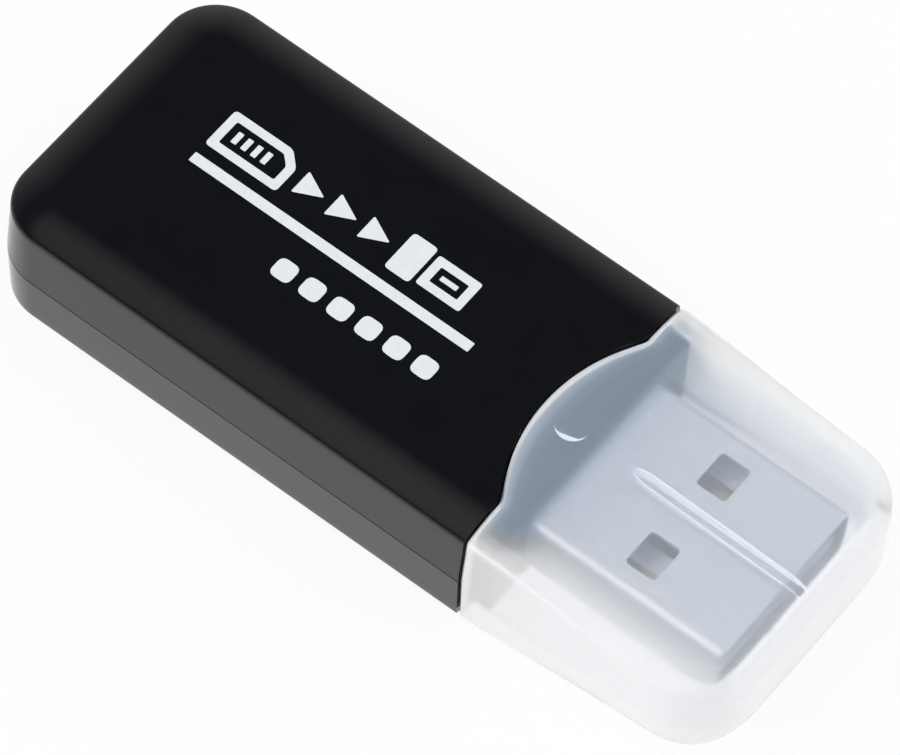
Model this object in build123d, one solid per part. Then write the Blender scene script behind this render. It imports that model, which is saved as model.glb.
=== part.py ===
from build123d import *
from math import atan, degrees
import os

# A plug-in memory card reader: two moulded shells, a pull-off cap, a plug and the board inside.
# Millimetres. X runs from the card slot at the rear to the cap's front, Y across, Z up.
# The origin lies under the middle of the capped reader, on the face that it rests on.

# Housing, outside
body_length = 33.5          # rear end to the straight part of the shoulder
body_width = 19.9           # across the seam, where the walls are widest
body_height = 8.7
seam_offset = 0.1           # the seam of the two shells lies this far above half height
rear_corner_radius = 3.5
side_draft = 0.18           # how far each wall leans in between the seam and its edge
crown_rise = 0.45           # height of the pillow over the edge round it
crown_width = 2.6           # width of the sloping band round the flat of the pillow
edge_radius = 0.25
seam_relief = 0.06          # fine groove along the seam

# Housing, inside
shell_wall = 1.2
lip_thickness = 0.55        # locating lip of the bottom shell, inside the top shell's wall
lip_height = 0.8
lip_gap = 0.05
boss_radius = 1.5
pin_radius = 0.75
pin_gap = 0.05
pin_reach = 2.0             # length of a pin above the board
post_radius = 1.2           # plain posts under the rear of the board
rib_thickness = 0.8         # cross ribs inside the shells

# Shoulder and neck
recess_chord = 13.3         # width of the rounded recess in the shoulder
recess_depth = 2.0
recess_blend = 1.2
neck_reach = 1.6            # how far the neck stands out of the shoulder
neck_corner_radius = 0.8
neck_wall = 1.0
detent_radius = 0.9
detent_height = 0.2
detent_setback = 1.6        # centre of the detent bump behind the neck's front

# Cap
cap_side_wall = 1.05
cap_face_wall = 0.85
cap_front_wall = 1.1
cap_tip_gap = 1.2           # from the plug's front to the cap's inner front
cap_side_taper = 0.03       # narrowing of each side for each millimetre of length
cap_face_taper = 0.04       # fall of the top, and rise of the underside, likewise
cap_corner_radius = 4.0
cap_front_rise = 1.0        # the pillow and edge grow softer towards the front, where they have these sizes
cap_front_band = 1.7
cap_front_edge = 0.7
cap_mouth_edge = 0.15       # broken edge round the mouth
cap_nose_radius = 2.0
cap_inner_radius = 0.8
cap_side_gap = 0.12
cap_face_gap = 0.25
mouth_gap = 0.1             # between the cap's rear edge and the shoulder
rib_width = 0.6             # guide rib on the cap's ceiling and floor
rib_start = 3.8             # from the shoulder to the rib's point
rib_nose = 1.4              # length of the pointed part
rib_gap = 0.15              # from the rib to the plug

# Plug
plug_width = 12.0
plug_height = 4.5
plug_sheet = 0.3
plug_lip = 0.15             # broken front edge that leads the plug in
plug_corner_radius = 0.6
plug_exposed = 13.0         # length of the plug in front of the neck
plug_buried = 5.2
plug_offset = 0.15          # the plug's axis lies this far above half height
plug_gap = 0.1              # round the plug in the neck's opening
window_length = 2.0
window_width = 2.5
window_corner = 0.25
window_pitch = 6.4
window_setback = 6.6        # from the plug's front to the windows' centre line
tab_length = 2.0            # solder tabs of the plug's shell on the board's arms
insulator_gap = 0.05
tongue_setback = 0.5        # from the plug's front to the front of the white tongue
tongue_chamfer = 0.4
block_length = 4.8          # full-height rear end of the insulator
contact_width = 1.0
contact_thickness = 0.25
contact_proud = 0.05        # above the tongue
contact_step = 0.1          # from the contact strip down to its foot
contact_foot = 1.8
contact_inner_offset = 1.0  # the four contacts' places to each side of the middle
contact_outer_offset = 3.5
power_setback = 1.2         # front ends of the outer and inner contacts, behind the tongue's front
data_setback = 2.2

# Board and card socket
board_thickness = 0.8
board_gap = 0.15
board_corner = 1.5
pin_margin = 1.6            # from the board's edge to the centre of a pin
card_width = 11.0
card_thickness = 1.0        # at the thick end of a card
slot_gap = 0.25
socket_length = 12.6
socket_floor = 0.35
socket_rail = 1.3
socket_stop = 1.0           # wall at the inner end of the card's channel
card_gap = 0.1
cover_sheet = 0.2
cover_setback = 0.6         # the cover starts this far inside the socket's mouth
spring_length = 4.5
spring_width = 0.6
spring_thickness = 0.15
spring_pitch = 1.1
spring_count = 8
spring_rise = 0.25
spring_tail = 0.6
spring_slot_gap = 0.1

# Chip and small parts on the board
chip_length = 9.9
chip_width = 3.9
chip_height = 1.4
chip_standoff = 0.15
chip_chamfer = 0.25
lead_pitch = 1.27
leads_per_side = 8
lead_width = 0.4
lead_thickness = 0.2
lead_reach = 1.05           # from the chip's side to the end of a foot
lead_foot = 0.5
capacitor_size = (0.8, 1.6, 0.8)
resistor_size = (0.5, 1.0, 0.35)
terminal_share = 0.25       # share of a small part's length that each end cap covers
terminal_proud = 0.03
capacitor_spacing = 6.0
resistor_spacing = 2.4

# Tool lengths that only have to reach past the material, and a hair's breadth between tool and face
past = 1.0
hair = 0.015

# Places that follow from the sizes
cap_length = neck_reach + plug_exposed + cap_tip_gap + cap_front_wall
rear_x = -(body_length + cap_length) / 2
shoulder_x = rear_x + body_length
front_x = shoulder_x + cap_length
half_width = body_width / 2
half_height = body_height / 2
seam_z = half_height + seam_offset
neck_front_x = shoulder_x + neck_reach
neck_half_width = half_width - cap_side_wall - cap_side_gap
neck_low = cap_face_wall + cap_face_gap
neck_high = body_height - neck_low
plug_front_x = neck_front_x + plug_exposed
plug_rear_x = neck_front_x - plug_buried
plug_z = half_height + plug_offset
plug_low = plug_z - plug_height / 2
plug_high = plug_z + plug_height / 2
room_half_width = half_width - side_draft - shell_wall
room_rear_x = rear_x + side_draft + shell_wall
room_front_x = shoulder_x - recess_depth - shell_wall
ceiling_z = body_height - shell_wall
neck_room_half_width = neck_half_width - neck_wall
strip_low = plug_z + contact_proud - contact_thickness
board_top = strip_low - contact_step
board_low = board_top - board_thickness
board_half_width = neck_room_half_width - board_gap
foot_rear_x = plug_rear_x - contact_foot
socket_rear_x = room_rear_x + board_gap
socket_front_x = socket_rear_x + socket_length
tail_front_x = socket_front_x + spring_tail
card_floor = board_top + socket_floor
card_roof = card_floor + card_thickness
channel_half_width = card_width / 2 + card_gap
socket_half_width = channel_half_width + socket_rail
chip_x = (tail_front_x + foot_rear_x) / 2
chip_reach = chip_width / 2 + lead_reach
front_column_x = (chip_x + chip_reach + foot_rear_x) / 2
rear_column_x = (chip_x - chip_reach + tail_front_x) / 2
pin_y = board_half_width - pin_margin
pin_places = [(front_column_x, -pin_y), (front_column_x, pin_y)]
post_places = [(rear_column_x, -pin_y), (rear_column_x, pin_y)]


def block(low, high):
    """Box between two opposite corners."""
    size = [b - a for a, b in zip(low, high)]
    centre = [(a + b) / 2 for a, b in zip(low, high)]
    return Pos(*centre) * Box(*size)


def upright(plan, low, high):
    """A plan outline raised from one height to another."""
    return Pos(0, 0, low) * extrude(plan, high - low)


def along_x(width, height, radius, z, x_start, x_end):
    """A bar of rounded rectangular section that runs along X, centred on Y."""
    section = Pos(0, z) * RectangleRounded(width, height, radius)
    return extrude(Plane.YZ.offset(x_start) * section, x_end - x_start)


def rear_outline(inset, x_end):
    """Plan of the housing inside its widest line, with rounded rear corners."""
    x_start = rear_x + inset
    width = body_width - 2 * inset
    plan = Pos((x_start + x_end) / 2, 0) * Rectangle(x_end - x_start, width)
    corners = plan.vertices().sort_by(Axis.X)[:2]
    return fillet(corners, rear_corner_radius - inset)


def crown_section(half, low, high, rise, band, radius):
    """Section of the cap: flat middle, pillow band, small edge radius and two drafted walls."""
    edge_y = half - side_draft
    flat_y = edge_y - band
    right = [
        Line((0, high), (flat_y, high)),
        TangentArc((flat_y, high), (edge_y, high - rise), tangent=(1, 0)),
        Line((edge_y, high - rise), (half, half_height)),
        Line((half, half_height), (edge_y, low + rise)),
        TangentArc((flat_y, low), (edge_y, low + rise), tangent=(1, 0)),
        Line((flat_y, low), (0, low)),
    ]
    wire = Wire(right)
    section = make_face(Wire([*wire.edges(), *mirror(wire, about=Plane.YZ).edges()]))
    edges = [v for v in section.vertices() if abs(abs(v.X) - edge_y) < hair]
    return fillet(edges, radius)


def shell_form(seam_depth):
    """Half of the housing, top face at z = 0: a plan with the pillow and the drafted wall cut round its rim."""
    x_end = neck_front_x + past
    plan = rear_outline(0, x_end)
    path = FilletPolyline(
        (x_end, -half_width),
        (rear_x, -half_width),
        (rear_x, half_width),
        (x_end, half_width),
        radius=rear_corner_radius,
    )
    flat_in = side_draft + crown_width
    rim = make_face(
        [
            TangentArc((flat_in, 0), (side_draft, -crown_rise), tangent=(-1, 0)),
            Polyline(
                (side_draft, -crown_rise),
                (0, seam_relief - seam_depth),
                (seam_relief, -seam_depth),
                (seam_relief, -seam_depth - past),
                (-past, -seam_depth - past),
                (-past, past),
                (flat_in, past),
                (flat_in, 0),
            ),
        ]
    )
    edge = rim.vertices().sort_by_distance((side_draft, -crown_rise))[0]
    rim = fillet(edge, edge_radius)
    rim_plane = Plane(origin=path @ 0, x_dir=(0, 1, 0), z_dir=(1, 0, 0))
    return upright(plan, -seam_depth, 0) - sweep(rim_plane * rim, path=path)


def shoulder_region(gap):
    """Plan of all that lies in front of the shoulder: straight at the sides, a rounded recess in the middle."""
    half_chord = recess_chord / 2
    radius = (half_chord**2 + recess_depth**2) / (2 * recess_depth)
    start = shoulder_x + gap
    end = front_x + past
    region = Pos((start + end) / 2, 0) * Rectangle(end - start, body_width + 2 * past)
    region += Pos(shoulder_x - recess_depth + radius, 0) * Circle(radius - gap)
    blends = [v for v in region.vertices() if abs(v.X - start) < hair and abs(v.Y) < half_width - past]
    region = fillet(blends, recess_blend + gap)
    limit = Pos((end + rear_x) / 2, 0) * Rectangle(end - rear_x, body_width + 2 * past)
    return region & limit


def lip_region(inset):
    """Plan of the inside of the housing, as far forward as its wide room goes."""
    return rear_outline(inset, room_front_x)


def housing():
    """Both shells as one block: the pillow form, cut back at the shoulder, with the neck added."""
    top = Pos(0, 0, body_height) * shell_form(body_height - seam_z)
    bottom = Rot(180, 0, 0) * shell_form(seam_z)
    front = upright(shoulder_region(0), -past, body_height + past)
    neck = along_x(
        2 * neck_half_width,
        neck_high - neck_low,
        neck_corner_radius,
        half_height,
        room_front_x,
        neck_front_x,
    )
    return [top - front, bottom - front], neck


def detent(z, side):
    """Low round bump that grips the cap, on the upper (side 1) or lower (side -1) face of the neck."""
    ball = (detent_radius**2 + detent_height**2) / (2 * detent_height)
    x = neck_front_x - detent_setback
    bump = Pos(x, 0, z + side * (detent_height - ball)) * Sphere(ball)
    keep = block(
        (x - past, -past, z - detent_height),
        (x + past, past, z + detent_height),
    )
    return bump & keep


def inner_room():
    """Space inside the housing: the wide room, the neck's room and the plug's way out."""
    room = upright(rear_outline(side_draft + shell_wall, room_front_x), shell_wall, ceiling_z)
    neck_room = block(
        (room_front_x - past, -neck_room_half_width, plug_low - plug_gap),
        (neck_front_x - neck_wall, neck_room_half_width, plug_high + plug_gap),
    )
    way_out = along_x(
        plug_width + 2 * plug_gap,
        plug_height + 2 * plug_gap,
        plug_corner_radius + plug_gap,
        plug_z,
        room_front_x,
        neck_front_x + past,
    )
    return room + neck_room + way_out


def card_slot():
    """Slot through the rear wall, a little larger than a card's thick end."""
    half_slot = card_width / 2 + slot_gap
    return block(
        (rear_x - past, -half_slot, card_floor - slot_gap),
        (room_rear_x + past, half_slot, card_roof + slot_gap),
    )


def cross_rib(x, low, high):
    """Thin wall across the inside of a shell."""
    return block(
        (x - rib_thickness / 2, -room_half_width - lip_gap, low),
        (x + rib_thickness / 2, room_half_width + lip_gap, high),
    )


def at_places(places, radius, low, high):
    """Upright round posts at each of the places."""
    posts = [Pos(x, y, (low + high) / 2) * Cylinder(radius, high - low) for x, y in places]
    return Part() + posts


def make_shells():
    """Top and bottom shell, each hollow, with the lip, pins, bosses and ribs that join them and hold the board."""
    (top, bottom), neck = housing()
    room = inner_room()
    over = block((rear_x, -body_width, seam_z), (front_x, body_width, body_height))
    under = block((rear_x, -body_width, 0), (front_x, body_width, seam_z))
    top = top + (neck & over) + detent(neck_high, 1) - room
    bottom = bottom + (neck & under) + detent(neck_low, -1) - room

    wall_inset = side_draft + shell_wall
    lip_outside = wall_inset - lip_thickness
    lip = upright(lip_region(lip_outside), seam_z - lip_height, seam_z + lip_height)
    lip -= upright(rear_outline(wall_inset, room_front_x + past), 0, body_height)
    step = upright(lip_region(lip_outside - lip_gap), seam_z, seam_z + lip_height + lip_gap)

    hold_down_x = (socket_rear_x + socket_front_x) / 2
    hold_down = cross_rib(hold_down_x, card_roof + cover_sheet, ceiling_z + lip_gap)
    sockets = at_places(pin_places, boss_radius, board_top, ceiling_z + lip_gap)
    sockets -= at_places(pin_places, pin_radius + pin_gap, 0, board_top + pin_reach + pin_gap)
    top = top - step + hold_down + sockets - card_slot()

    seats = at_places(pin_places, boss_radius, shell_wall - lip_gap, board_low)
    seats += at_places(pin_places, pin_radius, shell_wall, board_top + pin_reach)
    seats += at_places(post_places, post_radius, shell_wall - lip_gap, board_low)
    support = cross_rib(hold_down_x, shell_wall - lip_gap, board_low)
    bottom = bottom + lip + seats + support - card_slot()
    return {"top_shell": top, "bottom_shell": bottom}


def cap_plan(half_at_shoulder, x_end, corner):
    """Plan of the cap: sides that draw in towards a straight front, with rounded front corners."""
    x_start = shoulder_x - recess_depth - past
    half_start = half_at_shoulder + cap_side_taper * (shoulder_x - x_start)
    half_end = half_at_shoulder - cap_side_taper * (x_end - shoulder_x)
    plan = make_face(
        Polyline(
            (x_start, -half_start),
            (x_end, -half_end),
            (x_end, half_end),
            (x_start, half_start),
            close=True,
        )
    )
    return fillet(plan.vertices().sort_by(Axis.X)[2:], corner)


def cap_profile(low, high, x_end, nose):
    """Side view of the cap: top and underside that draw together towards a rounded nose."""
    x_start = shoulder_x - recess_depth - past
    back = cap_face_taper * (shoulder_x - x_start)
    ahead = cap_face_taper * (x_end - shoulder_x)
    profile = make_face(
        Polyline(
            (x_start, low - back),
            (x_end, low + ahead),
            (x_end, high - ahead),
            (x_start, high + back),
            close=True,
        )
    )
    profile = fillet(profile.vertices().sort_by(Axis.X)[2:], nose)
    return extrude(Plane.XZ * profile, body_width, both=True)


def cap_outside():
    """Outer form of the cap: the housing's section drawn in to the front, with round corners and nose."""
    x_far = front_x + past
    draw_side = cap_side_taper * (x_far - shoulder_x)
    draw_face = cap_face_taper * (x_far - shoulder_x)
    mouth = crown_section(half_width, 0, body_height, crown_rise, crown_width, edge_radius)
    far = crown_section(
        half_width - draw_side,
        draw_face,
        body_height - draw_face,
        cap_front_rise,
        cap_front_band,
        cap_front_edge,
    )
    form = loft([Plane.YZ.offset(shoulder_x) * mouth, Plane.YZ.offset(x_far) * far])
    form += extrude(Plane.YZ.offset(shoulder_x) * mouth, -(recess_depth + past))
    lean = degrees(atan(side_draft / (half_height - crown_rise)))
    plan = cap_plan(half_width + hair, front_x, cap_corner_radius)
    corners = Pos(0, 0, half_height) * extrude(plan, half_height + past, taper=lean)
    corners += mirror(corners, about=Plane.XY.offset(half_height))
    form = form & corners & cap_profile(-hair, body_height + hair, front_x + hair, cap_nose_radius)
    form = form & upright(shoulder_region(mouth_gap), 0, body_height)
    return chamfer(mouth_rim(form), cap_mouth_edge)


def mouth_rim(form):
    """Edges round the cap's mouth, where its outside meets the faces that lie along the shoulder."""
    along_shoulder = [face for face in form.faces() if face.normal_at().X < -hair]
    edges = ShapeList(edge for face in along_shoulder for edge in face.edges())
    return edges - edges.filter_by(Axis.Z)


def cap_inside():
    """Hollow of the cap, clear of the neck all round."""
    x_end = front_x - cap_front_wall
    plan = cap_plan(neck_half_width + cap_side_gap, x_end, cap_corner_radius - cap_front_wall)
    prism = upright(plan, -past, body_height + past)
    return prism & cap_profile(cap_face_wall, body_height - cap_face_wall, x_end, cap_inner_radius)


def guide_rib():
    """Plan of the thin pointed rib along the middle of the cap."""
    point = shoulder_x + rib_start
    return make_face(
        Polyline(
            (point, 0),
            (point + rib_nose, -rib_width / 2),
            (front_x - cap_front_wall / 2, -rib_width / 2),
            (front_x - cap_front_wall / 2, rib_width / 2),
            (point + rib_nose, rib_width / 2),
            close=True,
        )
    )


def make_cap():
    """Frosted cap: one hollow moulding with a tongue at the rear and a guide rib above and below the plug."""
    outside = cap_outside()
    upper = upright(guide_rib(), plug_high + rib_gap, body_height)
    lower = upright(guide_rib(), 0, plug_low - rib_gap)
    ribs = (upper & outside) + (lower & outside)
    return {"cap": outside - cap_inside() + ribs}


def make_plug():
    """Folded steel shell with its windows and solder tabs, and the white insulator inside it."""
    shell = along_x(plug_width, plug_height, plug_corner_radius, plug_z, plug_rear_x, plug_front_x)
    shell = chamfer(shell.edges().group_by(Axis.X)[-1], plug_lip)
    inner_width = plug_width - 2 * plug_sheet
    inner_height = plug_height - 2 * plug_sheet
    inner_radius = plug_corner_radius - plug_sheet
    shell -= along_x(inner_width, inner_height, inner_radius, plug_z, plug_rear_x - past, plug_front_x + past)
    window_x = plug_front_x - window_setback
    window = RectangleRounded(window_length, window_width, window_corner)
    for y in (-window_pitch / 2, window_pitch / 2):
        shell -= Pos(window_x, y, plug_z) * extrude(window, plug_height, both=True)
    tab_rear = plug_rear_x + plug_sheet
    for side in (-1, 1):
        near = side * (plug_width / 2 - plug_sheet / 2)
        far = side * (board_half_width - plug_sheet)
        shell += block(
            (tab_rear, min(near, far), board_top),
            (tab_rear + tab_length, max(near, far), board_top + plug_sheet),
        )

    width = inner_width - 2 * insulator_gap
    low = plug_z - inner_height / 2 + insulator_gap
    high = plug_z + inner_height / 2 - insulator_gap
    tongue_front = plug_front_x - tongue_setback
    profile = Polyline(
        (plug_rear_x, low),
        (tongue_front - tongue_chamfer, low),
        (tongue_front, low + tongue_chamfer),
        (tongue_front, plug_z - tongue_chamfer),
        (tongue_front - tongue_chamfer, plug_z),
        (plug_rear_x + block_length, plug_z),
        (plug_rear_x + block_length, high),
        (plug_rear_x, high),
        close=True,
    )
    insulator = extrude(Plane.XZ * make_face(profile), width / 2, both=True)
    insulator = fillet(insulator.edges().filter_by(Axis.X).group_by(Axis.Z)[0], inner_radius)
    upper_edges = insulator.edges().filter_by(Axis.X).group_by(Axis.Z)[-1]
    insulator = fillet(upper_edges, inner_radius)
    parts = {"plug_shell": shell, "plug_insulator": insulator}

    lanes = [
        (-contact_outer_offset, power_setback),
        (-contact_inner_offset, data_setback),
        (contact_inner_offset, data_setback),
        (contact_outer_offset, power_setback),
    ]
    strip_high = strip_low + contact_thickness
    for number, (y, setback) in enumerate(lanes, 1):
        end = tongue_front - setback
        outline = Polyline(
            (foot_rear_x, board_top),
            (plug_rear_x - contact_thickness, board_top),
            (plug_rear_x, strip_low),
            (end, strip_low),
            (end, strip_high),
            (plug_rear_x - contact_thickness / 2, strip_high),
            (plug_rear_x - contact_thickness, board_top + contact_thickness),
            (foot_rear_x, board_top + contact_thickness),
            close=True,
        )
        contact = Pos(0, y, 0) * extrude(Plane.XZ * make_face(outline), contact_width / 2, both=True)
        groove_half = contact_width / 2 + insulator_gap
        insulator -= block(
            (plug_rear_x - past, y - groove_half, strip_low),
            (end + insulator_gap, y + groove_half, strip_high + insulator_gap),
        )
        parts[f"plug_contact_{number}"] = contact
    parts["plug_insulator"] = insulator
    return parts


def make_board():
    """Circuit board with the gap that the plug sinks into and the two holes for the pins."""
    front = neck_front_x - neck_wall - board_gap
    rear = room_rear_x + board_gap
    plan = Pos((front + rear) / 2, 0) * Rectangle(front - rear, 2 * board_half_width)
    plan = fillet(plan.vertices().sort_by(Axis.X)[:2], board_corner)
    gap_rear = plug_rear_x - board_gap
    gap_width = plug_width + 2 * board_gap
    plan -= Pos((gap_rear + front + past) / 2, 0) * Rectangle(front + past - gap_rear, gap_width)
    for x, y in pin_places:
        plan -= Pos(x, y) * Circle(pin_radius + 2 * pin_gap)
    return {"circuit_board": upright(plan, board_low, board_top)}


def make_socket():
    """Card socket: moulded base with rails and stop, bent steel cover, eight spring contacts."""
    base = block(
        (socket_rear_x, -socket_half_width, board_top),
        (socket_front_x, socket_half_width, card_roof),
    )
    base -= block(
        (socket_rear_x - past, -channel_half_width, card_floor),
        (socket_front_x - socket_stop, channel_half_width, card_roof + past),
    )
    sheet = block(
        (socket_rear_x + cover_setback, -socket_half_width - cover_sheet, board_top),
        (socket_front_x, socket_half_width + cover_sheet, card_roof + cover_sheet),
    )
    long_edges = sheet.edges().filter_by(Axis.X).group_by(Axis.Z)[-1]
    sheet = fillet(long_edges, cover_sheet)
    cover = sheet - block(
        (socket_rear_x - past, -socket_half_width, board_top - past),
        (socket_front_x + past, socket_half_width, card_roof),
    )
    parts = {"socket_base": base, "socket_cover": cover}

    tip_x = socket_front_x - socket_stop - spring_length
    outline = Polyline(
        (tail_front_x, board_top),
        (tail_front_x, board_top + spring_thickness),
        (socket_front_x - socket_stop, board_top + spring_thickness),
        (tip_x + spring_tail, card_floor + spring_rise),
        (tip_x, card_floor),
        (tip_x, card_floor - spring_thickness),
        (tip_x + spring_tail, card_floor + spring_rise - spring_thickness),
        (socket_front_x - socket_stop, board_top),
        close=True,
    )
    spring = extrude(Plane.XZ * make_face(outline), spring_width / 2, both=True)
    slot_half = spring_width / 2 + spring_slot_gap
    for index in range(spring_count):
        y = (index - (spring_count - 1) / 2) * spring_pitch
        base -= block(
            (tip_x - spring_slot_gap, y - slot_half, board_top - past),
            (socket_front_x - socket_stop, y + slot_half, card_floor + past),
        )
        base -= block(
            (tip_x, y - slot_half, board_top - past),
            (socket_front_x + past, y + slot_half, board_top + spring_thickness),
        )
        parts[f"socket_contact_{index + 1}"] = Pos(0, y, 0) * spring
    parts["socket_base"] = base
    return parts


def make_chip():
    """Controller: moulded body with sloping flanks, and a row of gull-wing leads along each long side."""
    low = board_top + chip_standoff
    high = low + chip_height
    middle = low + chip_height / 2
    body = block(
        (chip_x - chip_width / 2, -chip_length / 2, low),
        (chip_x + chip_width / 2, chip_length / 2, high),
    )
    body = chamfer(body.edges().group_by(Axis.Z)[-1], chip_chamfer)
    body = chamfer(body.edges().group_by(Axis.Z)[0], chip_chamfer / 2)
    side = chip_width / 2
    knee = lead_reach - lead_foot
    outline = Polyline(
        (side, middle),
        (side + knee - lead_thickness, middle),
        (side + knee, board_top),
        (side + lead_reach, board_top),
        (side + lead_reach, board_top + lead_thickness),
        (side + knee + lead_thickness, board_top + lead_thickness),
        (side + knee, middle + lead_thickness),
        (side, middle + lead_thickness),
        close=True,
    )
    lead = extrude(Plane.XZ * make_face(outline), lead_width / 2, both=True)
    leads = []
    for index in range(leads_per_side):
        y = (index - (leads_per_side - 1) / 2) * lead_pitch
        leads.append(Pos(chip_x, y, 0) * lead)
        leads.append(Pos(chip_x, y, 0) * Rot(0, 0, 180) * lead)
    return {"controller_chip": body, "controller_leads": Compound(leads)}


def small_part(size, x, y):
    """Chip capacitor or resistor: a body with a slightly larger cap over each end."""
    width, length, height = size
    cap_length_y = terminal_share * length
    grown = 2 * terminal_proud
    body = Box(width, length, height)
    for side in (-1, 1):
        end = side * (length - cap_length_y) / 2
        body += Pos(0, end, 0) * Box(width + grown, cap_length_y, height + grown)
    return Pos(x, y, board_top + height / 2 + terminal_proud) * body


def make_small_parts():
    """Two capacitors by the card socket and two resistors by the plug."""
    parts = {}
    for number, side in enumerate((-1, 1), 1):
        capacitor_y = side * capacitor_spacing / 2
        resistor_y = side * resistor_spacing / 2
        parts[f"capacitor_{number}"] = small_part(capacitor_size, rear_column_x, capacitor_y)
        parts[f"resistor_{number}"] = small_part(resistor_size, front_column_x, resistor_y)
    return parts


def main():
    os.makedirs("parts", exist_ok=True)
    parts = {}
    for make in (make_shells, make_cap, make_plug, make_board, make_socket, make_chip, make_small_parts):
        parts.update(make())
    for name, solid in parts.items():
        export_step(solid, f"parts/{name}.step")


main()
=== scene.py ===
"""Looks of a memory card reader with a pull-off cap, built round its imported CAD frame.

Blender works in metres; a size written here in millimetres is multiplied by MM.
"""
import math

import bmesh
import bpy
import numpy as np
from bpy.props import FloatProperty, FloatVectorProperty, PointerProperty
from mathutils import Matrix, Vector


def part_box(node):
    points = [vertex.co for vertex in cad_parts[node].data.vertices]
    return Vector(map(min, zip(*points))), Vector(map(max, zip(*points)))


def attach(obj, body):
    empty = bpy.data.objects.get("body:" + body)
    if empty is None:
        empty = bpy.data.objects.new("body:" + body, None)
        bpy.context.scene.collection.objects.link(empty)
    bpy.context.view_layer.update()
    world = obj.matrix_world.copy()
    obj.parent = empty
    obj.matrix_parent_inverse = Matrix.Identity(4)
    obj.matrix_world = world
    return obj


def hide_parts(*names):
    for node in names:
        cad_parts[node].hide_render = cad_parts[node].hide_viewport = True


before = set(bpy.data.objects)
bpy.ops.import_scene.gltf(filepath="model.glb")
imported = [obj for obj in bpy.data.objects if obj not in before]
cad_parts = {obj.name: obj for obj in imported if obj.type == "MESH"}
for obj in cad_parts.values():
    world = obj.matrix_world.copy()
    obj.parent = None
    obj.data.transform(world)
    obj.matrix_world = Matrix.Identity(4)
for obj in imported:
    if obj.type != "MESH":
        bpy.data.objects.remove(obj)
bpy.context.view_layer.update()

bl_info = {
    "name": "Memory card reader",
    "version": (1, 0, 0),
    "blender": (4, 5, 0),
    "location": "3D View > Sidebar > Card reader",
    "description": "Builds the housing, cap, plug, print and studio of a memory card reader",
    "category": "Object",
}

MM = 0.001

# points closer than these, in metres, are one; a length under TINY counts as none
WELD = 1e-8
MERGE = 1e-7
TINY = 1e-20

# places that the CAD frame gives
TOP_LOW, TOP_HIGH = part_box("top_shell")
CAP_LOW, CAP_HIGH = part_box("cap")
PLUG_LOW, PLUG_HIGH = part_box("plug_shell")
TONGUE_LOW, TONGUE_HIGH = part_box("plug_insulator")
REAR_X = TOP_LOW.x
NECK_FRONT_X = TOP_HIGH.x
HALF_WIDTH = TOP_HIGH.y
HEIGHT = TOP_HIGH.z
HALF_HEIGHT = HEIGHT / 2
SEAM_Z = TOP_LOW.z
FRONT_X = CAP_HIGH.x

# how finely the moulded surfaces are divided
WALL_ROWS = 6
EDGE_ROWS = 8
CROWN_ROWS = 18
SIDE_COLUMNS = 18
CORNER_COLUMNS = 20
BESIDE_SLOT_COLUMNS = 4
SLOT_COLUMNS = 12
NECK_ROWS = 30
LIP_ROWS = 4
CAP_ROWS = 30
NOSE_ROWS = 28
CRESCENT_COLUMNS = 25
CLOSING_SHARES = (0.75, 0.5, 0.25, 0.0)
FLAT_SHARES = np.concatenate(
    (np.linspace(0.985, 0.76, 12), np.linspace(0.73, 0.18, 13), np.linspace(0.15, 0.0, 9))
)
SHARP_ANGLE = math.radians(32)

# rounding inside the shells, and of the inner lip round the plug
INNER_CORNER = 0.3 * MM
INNER_LIP = 0.05 * MM

# first rows up the cap's wall, first row behind its mouth, where its rows lose the shoulder's
# curve, where its crisp edge starts to soften, and how blunt the rib's point is
CAP_LOW_ROWS = (0.0, 0.3 * MM, 0.8 * MM)
CAP_FIRST_ROW = 0.3 * MM
TONGUE_FADE = 4.0 * MM
MELT_START = 1.0 * MM
RIB_POINT = 0.15

# the cap's milk: reach at an edge and at the mouth, share at an inner edge, loss where an edge melts,
# and the band over a side wall, which is wider past the neck
EDGE_MILK = 0.2 * MM
MOUTH_MILK = 0.28 * MM
INNER_EDGE_MILK = 0.5
MELTED_EDGE_LOSS = 0.45
RIM_START = -0.3 * MM
RIM_WIDER = 1.9 * MM
RIM_FULL = 0.4 * MM

# the cap's frost: how far past the neck its band narrows and its strength drops, the strength lost,
# the band's end from the inner wall and its width at and past the neck, and the fade before the front
FROST_NARROWS = 2.5 * MM
FROST_DROPS = 8.0 * MM
FROST_LOSS = 0.5
FROST_END = 0.2 * MM
FROST_END_BACK = 1.0 * MM
FROST_FADE = 1.6 * MM
FROST_FADE_MORE = 1.4 * MM
FROST_FRONT = (1.6 * MM, 0.6 * MM)

# walls clearer than the second share pass all light that leaves them, below the first none more
LEAVING_SHARES = (0.2, 0.34)

# the painted highlight, a milky crescent in the ceiling on the front side of the detent that stands in for a
# glint
# on the bump: middle and half of its arc, gap round the bump, least width, how far it stands in the ceiling
# and its thickness
CRESCENT_MIDDLE = math.radians(-74.0)
CRESCENT_HALF = math.radians(70.0)
CRESCENT_GAP = 0.1 * MM
CRESCENT_TIP = 0.01 * MM
CRESCENT_SUNK = 0.02 * MM
CRESCENT_THICK = 0.05 * MM

# the print's counts and the rounding of its line
CARD_CONTACTS = 4
DOTS = 6
LINE_CORNER = 0.08 * MM

# the studio, in metres: lamps with their place, width and power setting, floor, lens limits, and the
# room's brightness by height; the last two say how white floor and room look to straight views
LAMPS = (
    ("key", (-0.45, -0.35, 0.75), 0.9, "key_power"),
    ("fill", (0.55, 0.35, 0.6), 0.8, "fill_power"),
)
FLOOR_REACH = 1.5
FLOOR_POINTS = 9
FLOOR_DROP = 0.05 * MM
LENS_LIMITS = (0.01, 20.0)
ROOM_LEVELS = ((0.0, 1.0), (0.3, 0.95), (0.62, 0.42), (0.81, 0.07), (0.88, 0.07), (1.0, 0.9))
FLOOR_GLOW = 0.9
ROOM_THROUGH_CAP = 0.6


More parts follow.
